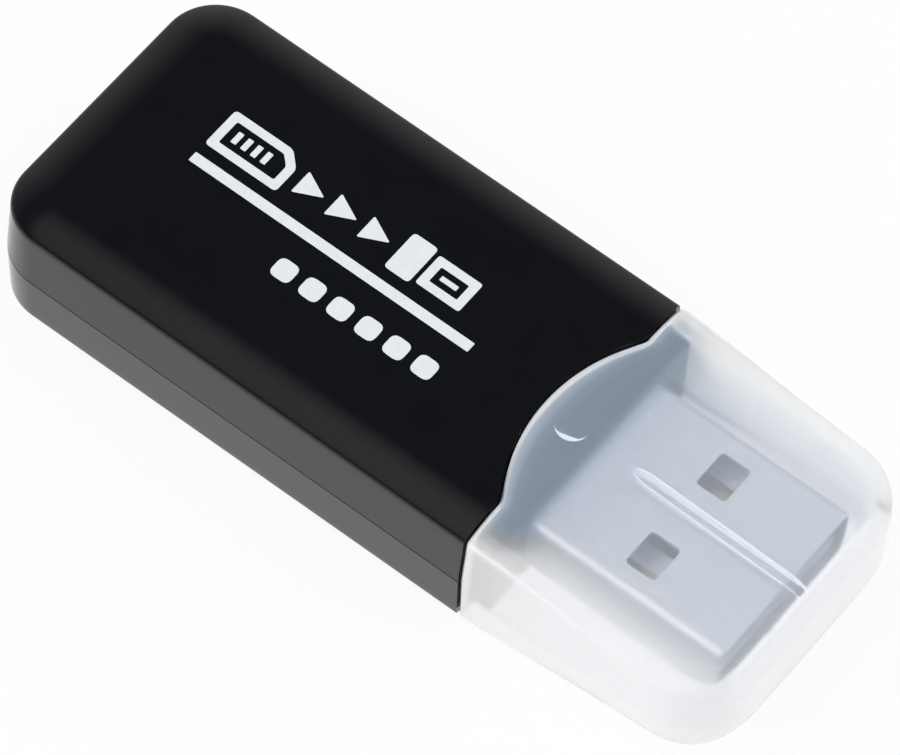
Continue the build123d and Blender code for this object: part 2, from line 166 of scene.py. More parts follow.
def length(name, about, millimetres):
    """Property for a length, given in millimetres."""
    return FloatProperty(
        name=name,
        description=about,
        default=millimetres * MM,
        unit="LENGTH",
        precision=5,
    )


def portion(name, about, value):
    """Property for a share between nothing and all."""
    return FloatProperty(name=name, description=about, default=value, min=0.0, max=1.0, subtype="FACTOR")


def colour(name, about, code):
    """Property for a colour, given as an sRGB hex value and kept linear."""
    return FloatVectorProperty(
        name=name,
        description=about,
        default=linear(code)[:3],
        subtype="COLOR",
        min=0.0,
        max=1.0,
    )


def linear(code):
    """Linear RGBA of an sRGB hex value."""
    channels = [int(code[i : i + 2], 16) / 255 for i in (1, 3, 5)]
    curve = [c / 12.92 if c <= 0.04045 else ((c + 0.055) / 1.055) ** 2.4 for c in channels]
    return (*curve, 1.0)


class HousingSizes(bpy.types.PropertyGroup):
    """Sizes of the two housing shells."""

    rear_corner: length("Rear corner", "Plan radius of the two rear corners", 3.5)
    side_draft: length("Side draft", "How far a wall leans in between seam and edge", 0.18)
    crown_rise: length("Crown rise", "Height of the pillow over the edge round it", 0.45)
    crown_width: length("Crown width", "Width of the sloping band round the flat", 2.6)
    edge_radius: length("Edge radius", "Rounding of the edge under the crown", 0.25)
    seam_relief: length("Seam relief", "Fine groove along the seam", 0.06)
    shell_wall: length("Wall", "Wall thickness", 1.2)
    recess_chord: length("Recess chord", "Width of the rounded recess in the shoulder", 13.3)
    recess_depth: length("Recess depth", "Depth of the rounded recess", 2.0)
    recess_blend: length("Recess blend", "Radius between recess and straight shoulder", 1.2)
    neck_half_width: length("Neck half width", "Half the width of the neck", 8.78)
    neck_low: length("Neck step", "Height of the neck's underside", 1.1)
    neck_corner: length("Neck corner", "Rounding along the neck", 0.8)
    neck_edge: length("Neck edge", "Rounding of the neck's front edge", 0.15)
    neck_wall: length("Neck wall", "Wall thickness of the neck", 1.0)
    detent_radius: length("Detent radius", "Radius of the bump that grips the cap", 0.9)
    detent_height: length("Detent height", "Height of the bump", 0.2)
    detent_setback: length("Detent setback", "Centre of the bump behind the neck's front", 1.6)
    # painted highlight: widest part of the milky crescent that stands in for the glint on the detent
    painted_glint_width: length("Dimple width", "Widest part of the rim of the dimple that takes the bump", 0.3)
    opening_gap: length("Opening gap", "Gap round the plug in the neck", 0.1)
    slot_half_width: length("Slot half width", "Half the width of the card slot", 5.75)
    slot_above: length("Slot above", "Height of the card slot over the seam", 1.35)
    slot_below: length("Slot below", "Depth of the card slot under the seam", 0.15)


class CapSizes(bpy.types.PropertyGroup):
    """Sizes of the cap."""

    side_wall: length("Side wall", "Wall thickness at the sides", 1.05)
    face_wall: length("Face wall", "Wall thickness of top and underside", 0.85)
    front_wall: length("Front wall", "Wall thickness at the front", 1.1)
    side_taper: FloatProperty(name="Side taper", description="Narrowing per length", default=0.03)
    face_taper: FloatProperty(name="Face taper", description="Fall per length", default=0.04)
    corner: length("Front corner", "Plan radius of the front corners", 4.0)
    nose: length("Nose", "Radius from the top to the front", 2.0)
    soft_edge: length("Soft edge", "Radius of the long edges at the front end", 1.9)
    inner_edge: length("Inner edge", "Radius of the long edges inside", 0.8)
    inner_nose: length("Inner nose", "Radius from ceiling to front inside", 0.8)
    mouth_gap: length("Mouth gap", "Gap between cap and shoulder", 0.1)
    mouth_bevel: length("Mouth bevel", "Broken edge round the mouth", 0.2)
    front_milk: portion("Front milk", "How much milkier the inside of the front wall is", 0.85)
    rim_milk: portion("Rim milk", "How much milkier the top is over the side walls", 0.5)
    rib_half_width: length("Rib half width", "Half the width of the guide rib", 0.3)
    rib_flank: length("Rib flank", "Draft of the rib's sides", 0.06)
    rib_start: length("Rib start", "From the shoulder to the rib's point", 3.8)
    rib_nose: length("Rib nose", "Length of the rib's point", 1.4)
    rib_gap: length("Rib gap", "From the rib to the plug", 0.15)
    clear_outside: portion("Clear outside", "Light that passes the frosted top and underside", 0.7)
    clear_upright: portion("Clear upright", "Light that passes the frosted sides and front", 0.3)
    clear_inside: portion("Clear inside", "Light that passes the polished inside", 0.9)
    clear_flank: portion("Clear flank", "Light that passes the inside of the side walls", 0.45)
    clear_edge: portion("Clear edge", "Light that passes at an edge", 0.08)
    # painted highlight: light that passes the milky crescent over the detent
    clear_painted_glint: portion("Clear dimple", "Light that passes the rim of the dimple", 0.32)


class PrintSizes(bpy.types.PropertyGroup):
    """Sizes of the white print on the top."""

    ink: length("Ink", "Thickness of the print", 0.012)
    line_start: length("Line start", "Rear end of the long line", -18.3)
    line_end: length("Line end", "Front end of the long line", 1.25)
    line_width: length("Line width", "Width of the long line", 0.68)
    row: length("Signs' row", "Middle of the signs beside the long line", 2.5)
    sign_long: length("Sign length", "Length of the card and plug signs", 5.0)
    sign_wide: length("Sign width", "Width of the card and plug signs", 2.8)
    stroke: length("Stroke", "Width of the outlines", 0.55)
    card: length("Card sign", "Middle of the card sign", -15.8)
    plug: length("Plug sign", "Middle of the plug sign", -3.2)
    arrow: length("Arrow", "Length and width of an arrow head", 1.7)
    arrow_pitch: length("Arrow pitch", "From one arrow head to the next", 2.3)
    dot_row: length("Dots' row", "Middle of the dots on the line's other side", -2.6)
    dot: length("Dot", "Width of a dot", 1.35)
    dot_pitch: length("Dot pitch", "From one dot to the next", 1.95)
    first_dot: length("First dot", "Middle of the rear dot", -9.7)


class ReaderColours(bpy.types.PropertyGroup):
    """Colours of the outside."""

    housing: colour("Housing", "Black of the moulded housing", "#0B0D11")
    cap: colour("Cap", "Milk of the cap's frosted outside", "#D2E7FF")
    cap_through: colour("Cap, looked through", "Tint that the milk leaves to light going through", "#FFE5CC")
    cap_thick: colour("Cap, thick", "Milk of the cap where it is thick", "#F4F5F7")
    steel: colour("Plug", "Nickel-plated steel of the plug", "#D9DCE2")
    print: colour("Print", "White ink", "#E6EAED")
    floor: colour("Floor", "Studio floor", "#F6F6F6")


class StudioSettings(bpy.types.PropertyGroup):
    """Camera and light."""

    azimuth: FloatProperty(
        name="Azimuth",
        description="Turn of the camera round the object, from straight in front of its long side",
        default=math.radians(32.852),
        subtype="ANGLE",
    )
    elevation: FloatProperty(
        name="Elevation",
        description="Height of the camera over the floor",
        default=math.radians(58.758),
        subtype="ANGLE",
    )
    roll: FloatProperty(
        name="Roll",
        description="Turn of the camera about its own line of sight",
        default=math.radians(5.727),
        subtype="ANGLE",
    )
    distance: length("Distance", "From the camera to the point it aims at", 415.35)
    aim: FloatVectorProperty(
        name="Aim",
        description="Point that the camera looks at",
        default=(-0.314 * MM, 0.597 * MM, 3.139 * MM),
        subtype="TRANSLATION",
        precision=5,
    )
    lens: FloatProperty(
        name="Lens", description="Focal length in millimetres", default=300.0, unit="CAMERA"
    )
    key_power: FloatProperty(
        name="Key power", description="Power of the large soft lamp", default=5.6, unit="POWER"
    )
    fill_power: FloatProperty(
        name="Fill power", description="Power of the lamp opposite", default=2.2, unit="POWER"
    )


def node(tree, kind, inputs=(), **settings):
    """Adds one shader node; settings are its properties, inputs its sockets' values or links."""
    made = tree.nodes.new(kind)
    for key, value in settings.items():
        setattr(made, key, value)
    for key, value in dict(inputs).items():
        if isinstance(value, bpy.types.NodeSocket):
            tree.links.new(value, made.inputs[key])
        else:
            made.inputs[key].default_value = value
    return made


def finish(name, shade, light, grain, rough, bump=0.0, stretch=(1.0, 1.0, 1.0), **sockets):
    """Material whose colour, roughness and bump follow one noise of the given grain size.

    The noise runs over Object coordinates, so its scale is one over the grain in metres, and
    stretch draws it out along an axis. Colour goes from shade to light and roughness through
    the pair rough; sockets are constants set straight on the shader.
    """
    made = bpy.data.materials.new(name)
    made.use_nodes = True
    tree = made.node_tree
    shader = tree.nodes["Principled BSDF"]
    place = node(tree, "ShaderNodeTexCoord").outputs["Object"]
    drawn = node(tree, "ShaderNodeMapping", {"Vector": place, "Scale": stretch})
    noise = node(
        tree,
        "ShaderNodeTexNoise",
        {"Vector": drawn.outputs["Vector"], "Scale": 1 / grain, "Detail": 3.0},
    )
    ramp = node(tree, "ShaderNodeValToRGB", {"Fac": noise.outputs["Fac"]})
    ramp.color_ramp.elements[0].position = 0.3
    ramp.color_ramp.elements[0].color = shade
    ramp.color_ramp.elements[1].position = 0.7
    ramp.color_ramp.elements[1].color = light
    tree.links.new(ramp.outputs["Color"], shader.inputs["Base Color"])
    gloss = node(
        tree,
        "ShaderNodeMapRange",
        {"Value": noise.outputs["Fac"], "To Min": rough[0], "To Max": rough[1]},
    )
    tree.links.new(gloss.outputs["Result"], shader.inputs["Roughness"])
    if bump:
        relief = node(
            tree,
            "ShaderNodeBump",
            {"Height": noise.outputs["Fac"], "Strength": 1.0, "Distance": bump},
        )
        tree.links.new(relief.outputs["Normal"], shader.inputs["Normal"])
    for key, value in sockets.items():
        shader.inputs[key.replace("_", " ")].default_value = value
    return made


def toned(tint, share):
    """RGBA of a colour made darker or lighter by a share."""
    return (*(min(channel * share, 1.0) for channel in tint), 1.0)


def black_abs(tint):
    """ABS moulded in a polished tool: near black, glossy, with a faint long orange peel."""
    return finish(
        "abs_moulded_gloss",
        shade=toned(tint, 0.9),
        light=toned(tint, 1.12),
        grain=2.5 * MM,
        rough=(0.10, 0.16),
        bump=0.0012 * MM,
        IOR=1.5,
    )


def frosted_polypropylene(milk, through, thick):
    """Natural polypropylene moulded in a blasted tool: milky, and whiter where the eye looks along a wall.

    Its fine frost sends blue light back and lets warmer light on, so it looks cool over black
    and plain over white. The piece's attribute clear says how much light goes straight on as it
    enters: less along edges, rib and mouth, where it has further to go. Light that leaves a plain
    wall again goes on whole. The attribute frost is 1 where a thin frosted wall is entered, down
    to -1 where it is left, and 0 where the milk is thick and plain. Lamps shine through as well.
    """
    made = finish(
        "polypropylene_frosted",
        shade=toned(milk, 0.99),
        light=toned(milk, 1.0),
        grain=0.35 * MM,
        rough=(0.22, 0.28),
        bump=0.002 * MM,
        IOR=1.08,
        Coat_Weight=0.6,
        Coat_Roughness=0.12,
    )
    tree = made.node_tree
    shader = tree.nodes["Principled BSDF"]
    cool = shader.inputs["Base Color"].links[0].from_socket
    plain, warm = (*thick, 1.0), (*through, 1.0)
    clear = node(tree, "ShaderNodeAttribute", attribute_name="clear").outputs["Fac"]
    frost = node(tree, "ShaderNodeAttribute", attribute_name="frost").outputs["Fac"]
    leaving = node(tree, "ShaderNodeNewGeometry").outputs["Backfacing"]

    held, free_from = LEAVING_SHARES
    wall = node(tree, "ShaderNodeMapRange", {"Value": clear, "From Min": held, "From Max": free_from})
    free = node(tree, "ShaderNodeMath", {0: wall.outputs["Result"], 1: leaving}, operation="MULTIPLY")
    passes = node(
        tree, "ShaderNodeMapRange", {"Value": free.outputs[0], "To Min": clear, "To Max": 1.0}
    ).outputs["Result"]
    tree.links.new(passes, shader.inputs["Transmission Weight"])

    left = node(tree, "ShaderNodeMath", {0: frost, 1: -1.0}, operation="MULTIPLY").outputs[0]
    going_in = node(tree, "ShaderNodeMix", {0: frost, 6: plain, 7: cool}, data_type="RGBA").outputs[2]
    going_out = node(tree, "ShaderNodeMix", {0: left, 6: plain, 7: warm}, data_type="RGBA").outputs[2]
    tint = node(tree, "ShaderNodeMix", {0: leaving, 6: going_in, 7: going_out}, data_type="RGBA").outputs[2]
    tree.links.new(tint, shader.inputs["Base Color"])

    lamp = node(tree, "ShaderNodeLightPath").outputs["Is Shadow Ray"]
    lit = node(tree, "ShaderNodeMath", {0: lamp, 1: passes}, operation="MULTIPLY").outputs[0]
    open_way = node(tree, "ShaderNodeBsdfTransparent").outputs[0]
    both = node(tree, "ShaderNodeMixShader", {0: lit, 1: shader.outputs[0], 2: open_way}).outputs[0]
    tree.links.new(both, tree.nodes["Material Output"].inputs["Surface"])
    return made


def nickel_steel(tint):
    """Stamped steel, nickel plated: a pale satin, with fine drawing lines along the plug."""
    return finish(
        "steel_nickel_plated",
        shade=toned(tint, 0.88),
        light=toned(tint, 1.0),
        grain=0.15 * MM,
        rough=(0.5, 0.6),
        bump=0.0002 * MM,
        stretch=(0.06, 1.0, 1.0),
        Metallic=1.0,
    )


def white_ink(tint):
    """Pad-printed white ink: even, half matt, a little thin in places."""
    return finish(
        "ink_pad_printed",
        shade=toned(tint, 0.95),
        light=toned(tint, 1.0),
        grain=0.4 * MM,
        rough=(0.42, 0.55),
        bump=0.002 * MM,
    )


# finish, dark and light colour, grain in millimetres, roughness and constants of the inner parts
INNER_FINISHES = {
    "insulator_white": ("polyester_moulded_white", "#D3D8DE", "#E0E5EA", 0.5, (0.38, 0.5), {}),
    "contact_gold": ("brass_gold_flashed", "#AC9A72", "#C4B28A", 0.3, (0.2, 0.32), {"Metallic": 1.0}),
    "board_green": ("glass_epoxy_green_mask", "#0C3B22", "#14512F", 0.8, (0.3, 0.42), {}),
    "socket_black": ("liquid_crystal_polymer_black", "#141416", "#1D1D20", 0.4, (0.45, 0.6), {}),
    "socket_steel": ("steel_stamped_tinned", "#A9ACB0", "#C2C5C9", 0.2, (0.25, 0.4), {"Metallic": 1.0}),
    "chip_black": ("epoxy_moulded_matt", "#17181A", "#212225", 0.25, (0.6, 0.75), {}),
    "lead_tin": ("copper_tin_plated", "#B4B6B8", "#CBCDCF", 0.25, (0.28, 0.42), {"Metallic": 1.0}),
    "capacitor_tan": ("ceramic_tan", "#8C6B4A", "#A27F5A", 0.3, (0.45, 0.6), {}),
    "resistor_black": ("ceramic_black_glazed", "#131416", "#1C1D20", 0.3, (0.3, 0.45), {}),
}


def net(rows, columns, start=0, wrap=False):
    """Quads of a grid of points held row by row, as rows by columns by four; wrap closes each row."""
    index = start + np.arange(rows * columns).reshape(rows, columns)
    if wrap:
        index = np.hstack((index, index[:, :1]))
    return np.stack((index[:-1, :-1], index[:-1, 1:], index[1:, 1:], index[1:, :-1]), axis=-1)


def sound_faces(faces):
    """Quads as they are, and those with a repeated corner as the triangles that are left of them."""
    ends = np.roll(faces, -1, axis=1)
    thin = (faces == ends).any(axis=1)
    halves = np.concatenate((faces[thin][:, (0, 1, 2)], faces[thin][:, (0, 2, 3)]))
    whole = (halves != np.roll(halves, -1, axis=1)).all(axis=1)
    return faces[~thin].tolist() + halves[whole].tolist()


def thick_sheet(outer, inner, faces):
    """Closed wall between two point sets that share one net of faces.

    It is the outer faces, the inner ones turned round, and a strip along each edge that only
    one face uses. Points that coincide both outside and inside are welded first. Further
    columns go with the points.
    """
    pairs = np.round(np.hstack((outer[:, :3], inner[:, :3])) / WELD)
    _, first, welded = np.unique(pairs, axis=0, return_index=True, return_inverse=True)
    sheet = welded.reshape(-1)[faces]
    edges = np.stack((sheet, np.roll(sheet, -1, axis=1)), axis=2).reshape(-1, 2)
    edges = edges[edges[:, 0] != edges[:, 1]]
    _, place, uses = np.unique(np.sort(edges, axis=1), axis=0, return_index=True, return_counts=True)
    rim = edges[place[uses == 1]]
    shift = len(first)
    strip = np.column_stack((rim[:, 1], rim[:, 0], rim[:, 0] + shift, rim[:, 1] + shift))
    points = np.concatenate((outer[first], inner[first]))
    return points, np.concatenate((sheet, sheet[:, ::-1] + shift, strip))


def add_piece(name, points, faces, body, material):
    """Object of these points and faces, welded, turned outwards and smooth up to the sharp angle.

    Columns after x, y and z become the attributes clear and frost.
    """
    mesh = bpy.data.meshes.new(name)
    mesh.from_pydata(points[:, :3].tolist(), [], sound_faces(faces))
    for column, attribute in enumerate(("clear", "frost")[: points.shape[1] - 3], 3):
        values = mesh.attributes.new(attribute, "FLOAT", "POINT").data
        values.foreach_set("value", points[:, column].copy())
    work = bmesh.new()
    work.from_mesh(mesh)
    bmesh.ops.remove_doubles(work, verts=work.verts, dist=MERGE)
    bmesh.ops.recalc_face_normals(work, faces=work.faces)
    work.to_mesh(mesh)
    work.free()
    mesh.polygons.foreach_set("use_smooth", np.ones(len(mesh.polygons), dtype=bool))
    mesh.set_sharp_from_angle(angle=SHARP_ANGLE)
    mesh.materials.append(material)
    piece = bpy.data.objects.new(name, mesh)
    bpy.context.collection.objects.link(piece)
    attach(piece, body)
    return piece


def ring(radius, angles):
    """Points of a circle about the origin at these angles."""
    return radius * np.column_stack((np.cos(angles), np.sin(angles)))


def shoulder_line(y, sizes, gap=0.0):
    """x of the shoulder at each y, moved forwards by gap.

    A wide arc bulges to the rear in the middle, a small arc leads out of it, and the rest is
    straight. The small arc touches the wide one from outside and the straight line.
    """
    half_chord = sizes.recess_chord / 2
    wide = (half_chord**2 + sizes.recess_depth**2) / (2 * sizes.recess_depth)
    straight = shoulder_x(sizes) + gap
    middle = shoulder_x(sizes) - sizes.recess_depth + wide
    wide = wide - gap
    small = sizes.recess_blend + gap
    small_y = math.sqrt((wide + small) ** 2 - (middle - straight + small) ** 2)
    touch_y = small_y * wide / (wide + small)
    across = np.abs(y)
    on_wide = middle - np.sqrt(np.maximum(wide**2 - across**2, 0.0))
    on_small = straight - small + np.sqrt(np.maximum(small**2 - (across - small_y) ** 2, 0.0))
    return np.where(across < touch_y, on_wide, np.where(across < small_y, on_small, straight))


def shoulder_x(sizes):
    """x of the straight part of the shoulder: the tongue's rear end gives it."""
    return CAP_LOW.x + sizes.recess_depth - bpy.context.scene.reader_cap.mouth_gap


def wall_rises(low, top):
    """Heights of the rows up a wall: the given low ones, then even steps below the top."""
    return np.concatenate((low, np.linspace(low[-1], top, WALL_ROWS + 1)[1:-1]))


def crowned_rows(sizes, height, low, relief):
    """Inset and height of the rows from the seam up to the flat of a crowned half.

    A leaning wall, an arc that touches the wall and, from inside, the crown's circle, and that
    circle's arc up to where it is level.
    """
    wall_top = height - sizes.crown_rise
    crown_radius = (sizes.crown_width**2 + sizes.crown_rise**2) / (2 * sizes.crown_rise)
    crown_centre = np.array((sizes.side_draft + sizes.crown_width, height - crown_radius))
    along = np.array((sizes.side_draft, wall_top)) / math.hypot(sizes.side_draft, wall_top)
    across = np.array((along[1], -along[0]))
    reach = across * sizes.edge_radius - crown_centre
    back = reach @ along
    inside = crown_radius - sizes.edge_radius
    centre = across * sizes.edge_radius + along * (math.sqrt(back**2 - reach @ reach + inside**2) - back)
    leave = math.atan2(-across[1], -across[0])
    join = math.atan2(centre[1] - crown_centre[1], centre[0] - crown_centre[0])
    edge = centre + ring(sizes.edge_radius, np.linspace(leave, join, EDGE_ROWS))
    crown = crown_centre + ring(crown_radius, np.linspace(join, math.pi / 2, CROWN_ROWS + 1)[1:])
    rises = wall_rises(low, edge[0, 1])
    wall = np.column_stack((sizes.side_draft * rises / wall_top, rises))
    wall[0, 0] = relief
    return np.concatenate((wall, edge, crown))


def plain_rows(height, radius, low, inset=0.0):
    """As many rows for a plain half: an upright wall and one quarter circle."""
    rises = wall_rises(low, height - radius)
    wall = np.column_stack((np.full_like(rises, inset), rises))
    turn = np.linspace(math.pi, math.pi / 2, EDGE_ROWS + CROWN_ROWS)
    return np.concatenate((wall, (inset + radius, height - radius) + ring(radius, turn)))


def over_flat(values):
    """Values of a half section's rows, with the last one carried on over the flat."""
    return np.append(values, np.full(len(FLAT_SHARES), values[-1]))


def half_section(half_width, rows):
    """y and height of a half section: its rows, then even steps over the flat to the middle."""
    flat = (half_width - rows[-1, 0]) * FLAT_SHARES
    return np.append(half_width - rows[:, 0], flat), over_flat(rows[:, 1])


def both_sides(y, rise):
    """A half section's points from one end of the seam over the middle to the other."""
    return np.append(-y, y[-2::-1]), np.append(rise, rise[-2::-1])


def skin(rows, half_width, rear, corner, start, slot_half_width):
    """Outside or inside of one shell behind the shoulder, as rows by columns of points.

    Each row is a U in plan at one inset and height: up one side from the shoulder, round a rear
    corner, along the rear and back. Over the flat the U shrinks on to a line along the middle.
    start gives the shoulder's x at a y.
    """
    shrink = np.append(np.ones(len(rows)), FLAT_SHARES)[:, None]
    inset, rise = over_flat(rows[:, 0])[:, None], over_flat(rows[:, 1])[:, None]
    turn_x, turn_y = rear + corner, half_width - corner
    focus = turn_x + corner
    side_y = (half_width - inset) * shrink
    side_x = start(side_y)
    share = np.linspace(0.0, 1.0, SIDE_COLUMNS)
    side = side_x + (focus + (turn_x - focus) * shrink - side_x) * share
    turn = np.linspace(math.pi / 2, math.pi, CORNER_COLUMNS)[1:]
    corner_x = turn_x + (corner - inset) * np.cos(turn)
    corner_y = turn_y + (corner - inset) * np.sin(turn)
    beside = np.linspace(turn_y, slot_half_width, BESIDE_SLOT_COLUMNS)[1:]
    slot = np.linspace(slot_half_width, -slot_half_width, SLOT_COLUMNS)[1:-1]
    rear_y = np.concatenate((beside, slot, -beside[::-1])) + 0 * inset
    rear_x = rear + inset + 0 * rear_y
    bend_x = np.hstack((corner_x, rear_x, corner_x[:, ::-1]))
    bend_y = np.hstack((corner_y, rear_y, -corner_y[:, ::-1]))
    x = np.hstack((side, focus + (bend_x - focus) * shrink, side[:, ::-1]))
    y = np.hstack((side_y + 0 * side, bend_y * shrink, -side_y - 0 * side))
    return np.stack((x, -y, rise + 0 * x), axis=-1)


def bump_height(x, y, sizes):
    """Height of the detent at x and y: the cap of a ball."""
    ball = (sizes.detent_radius**2 + sizes.detent_height**2) / (2 * sizes.detent_height)
    away = (x - NECK_FRONT_X + sizes.detent_setback) ** 2 + y**2
    return np.maximum(np.sqrt(np.maximum(ball**2 - away, 0.0)) - ball + sizes.detent_height, 0.0)


def neck(edge_loop, neck_half, neck_height, corner, low, start, front, edge, opening, bump):
    """Rest of a shell from its shoulder edge to the plug's opening, as rows by columns of points.

    The rows go down the shoulder's face on to the neck, along it, round its front edge and
    across its front to the opening. start gives the shoulder's x at a y.
    """
    y, rise = both_sides(*half_section(neck_half, plain_rows(neck_height, corner, low)))
    foot_x = start(y)
    share = np.linspace(0.0, 1.0, NECK_ROWS)[:, None]
    x = foot_x + (front - edge - foot_x) * share
    top = (rise > neck_height - corner / 2) * bump(x, y)
    rows = [edge_loop, np.stack((x, y + 0 * x, rise + top), axis=-1)]
    for angle in np.linspace(0.0, math.pi / 2, LIP_ROWS)[1:]:
        less = edge * (1 - math.cos(angle))
        y, rise = both_sides(
            *half_section(neck_half - less, plain_rows(neck_height - less, corner - less, low))
        )
        rows.append(np.stack((np.full_like(y, front - edge + edge * math.sin(angle)), y, rise), axis=-1))
    y, rise = both_sides(*half_section(opening[0], plain_rows(opening[1], opening[2], low)))
    rows.append(np.stack((np.full_like(y, front), y, rise), axis=-1))
    return np.concatenate([row.reshape(-1, len(y), 3) for row in rows])


def shell(sizes, side, print_sizes):
    """Points and faces of the upper (side 1) or lower (side -1) shell, a wall all round.

    The outside is the crowned skin and the neck, the inside the same with plain inner sizes;
    both share one net, with the card slot left open in it.
    """
    ink = print_sizes.ink if side > 0 else 0.0
    height = HEIGHT - SEAM_Z - ink if side > 0 else SEAM_Z
    plug_reach = (PLUG_HIGH.z if side > 0 else PLUG_LOW.z) - SEAM_Z
    neck_z = HEIGHT - sizes.neck_low if side > 0 else sizes.neck_low
    slot_reach = sizes.slot_above if side > 0 else sizes.slot_below
    low = np.array((0.0, sizes.seam_relief, slot_reach))
    plug_half = TONGUE_HIGH.y + (TONGUE_LOW.z - PLUG_LOW.z) + sizes.opening_gap
    opening = (plug_half, abs(plug_reach) + sizes.opening_gap, sizes.neck_corner)

    rows = crowned_rows(sizes, height, low, sizes.seam_relief)
    start = lambda y: shoulder_line(y, sizes)
    outer = skin(rows, HALF_WIDTH, REAR_X, sizes.rear_corner, start, sizes.slot_half_width)
    edge_loop = np.concatenate((outer[:, 0], outer[-2::-1, -1]))
    outer_neck = neck(
        edge_loop,
        sizes.neck_half_width,
        abs(neck_z - SEAM_Z),
        sizes.neck_corner,
        low,
        start,
        NECK_FRONT_X,
        sizes.neck_edge,
        opening,
        lambda x, y: bump_height(x, y, sizes),
    )

    wall_in = sizes.side_draft + sizes.shell_wall
    front_in = shoulder_x(sizes) - sizes.recess_depth - sizes.shell_wall
    start_in = lambda y: np.full_like(y, front_in)
    rows_in = plain_rows(height - sizes.shell_wall, INNER_CORNER, low, wall_in)
    inner = skin(rows_in, HALF_WIDTH, REAR_X, sizes.rear_corner, start_in, sizes.slot_half_width)
    loop_in = np.concatenate((inner[:, 0], inner[-2::-1, -1]))
    inner_neck = neck(
        loop_in,
        sizes.neck_half_width - sizes.neck_wall,
        abs(plug_reach) + 2 * sizes.opening_gap,
        INNER_CORNER,
        low,
        start_in,
        NECK_FRONT_X - sizes.neck_wall,
        INNER_LIP,
        opening,
        lambda x, y: 0 * x,
    )

    cells = net(*outer.shape[:2])
    middle_y = (outer[:-1, :-1, 1] + outer[1:, 1:, 1]) / 2
    middle_x = (outer[:-1, :-1, 0] + outer[1:, 1:, 0]) / 2
    rise = (outer[:-1, :-1, 2] + outer[1:, 1:, 2]) / 2
    at_rear = middle_x < REAR_X + sizes.shell_wall
    slot = (abs(middle_y) < sizes.slot_half_width) & (rise < slot_reach) & at_rear
    faces = np.concatenate(
        (cells[~slot], net(*outer_neck.shape[:2], start=outer[..., 0].size).reshape(-1, 4))
    )
    points = [
        np.concatenate((part.reshape(-1, 3), front.reshape(-1, 3)))
        for part, front in ((outer, outer_neck), (inner, inner_neck))
    ]
    points, faces = thick_sheet(points[0], points[1], faces)
    points[:, 2] = SEAM_Z + side * points[:, 2]
    return points, faces


def step(low, high, x):
    """Smooth step from 0 at low to 1 at high."""
    t = np.clip((x - low) / (high - low), 0.0, 1.0)
    return t * t * (3 - 2 * t)


def fallen(x, end, radius):
    """How far a quarter circle that ends at end has fallen at x."""
    along = np.clip(x - end + radius, 0.0, radius)
    return radius - np.sqrt(np.maximum(radius**2 - along**2, 0.0))


def cap_half(sizes, housing, inside):
    """Upper half of the cap's outside or inside, as rows by columns of points about half height.

    Each row is a section across the cap. Going forwards it narrows and sinks by the tapers,
    then along the corner and nose circles; its crisp crowned edge melts into a soft round one.
    The first row follows the shoulder's curve and the last rows close the front. Beside the
    points comes close, which goes to 0 in the last rows, and milk, a bell curve about the long
    edge or an exponential from the mouth, whichever is more.
    """
    mouth = shoulder_x(housing) + sizes.mouth_gap
    low = np.array(CAP_LOW_ROWS)
    half = HALF_WIDTH - (sizes.side_wall if inside else 0.0)
    height = HALF_HEIGHT - (sizes.face_wall if inside else 0.0)
    front = FRONT_X - (sizes.front_wall if inside else 0.0)
    corner = sizes.corner - (sizes.front_wall if inside else 0.0)
    nose = sizes.inner_nose if inside else sizes.nose
    if inside:
        crisp = soft = plain_rows(height, sizes.inner_edge, low)
    else:
        crisp = crowned_rows(housing, height, low, 0.0)
        soft = plain_rows(height, sizes.soft_edge, low)

    straight = FRONT_X - sizes.corner - mouth
    reach = np.concatenate(
        (
            (0.0, sizes.mouth_bevel),
            np.linspace(CAP_FIRST_ROW, straight, CAP_ROWS),
            straight + corner * np.sin(np.linspace(0.0, math.pi / 2, NOSE_ROWS))[1:],
            np.full(len(CLOSING_SHARES), front - mouth),
        )
    )[:, None]
    close = np.append(np.ones(len(reach) - len(CLOSING_SHARES)), CLOSING_SHARES)[:, None]
    mouth_y, _ = half_section(half, crisp)
    lead = shoulder_line(mouth_y, housing, sizes.mouth_gap) - mouth
    x = mouth + reach + lead * np.clip(1 - reach / TONGUE_FADE, 0.0, 1.0)

    melt = step(mouth + MELT_START, FRONT_X - sizes.corner, x)
    gone = np.maximum(x - mouth, 0.0)
    half_x = half - sizes.side_taper * gone - fallen(x, front, corner)
    level = (height - sizes.face_taper * gone - fallen(x, front, nose)) / height
    bevel = np.where(np.arange(len(reach)) == 0, 0.0 if inside else sizes.mouth_bevel, 0.0)[:, None]
    inset, rise = (
        over_flat(first) + melt * (over_flat(last) - over_flat(first)) for first, last in zip(crisp.T, soft.T)
    )
    share = np.append(np.ones(len(crisp)), FLAT_SHARES)
    y = (half_x - bevel - inset) * share
    z = rise * level - bevel * (rise > height / 2)
    edge_row = len(low) + WALL_ROWS - 1 + EDGE_ROWS // 2
    away = np.hypot(inset - inset[:, edge_row : edge_row + 1], rise - rise[:, edge_row : edge_row + 1])
    strength = INNER_EDGE_MILK if inside else 1 - MELTED_EDGE_LOSS * melt
    along_edge = np.exp(-((away / EDGE_MILK) ** 2)) * strength
    milk = np.maximum(along_edge * share, np.exp(-reach / MOUTH_MILK))
    if inside:
        milk = np.maximum(milk, sizes.front_milk * step(front - nose / 2, front, x))
    else:
        milk = milk * close
    return x, y, z, close, milk


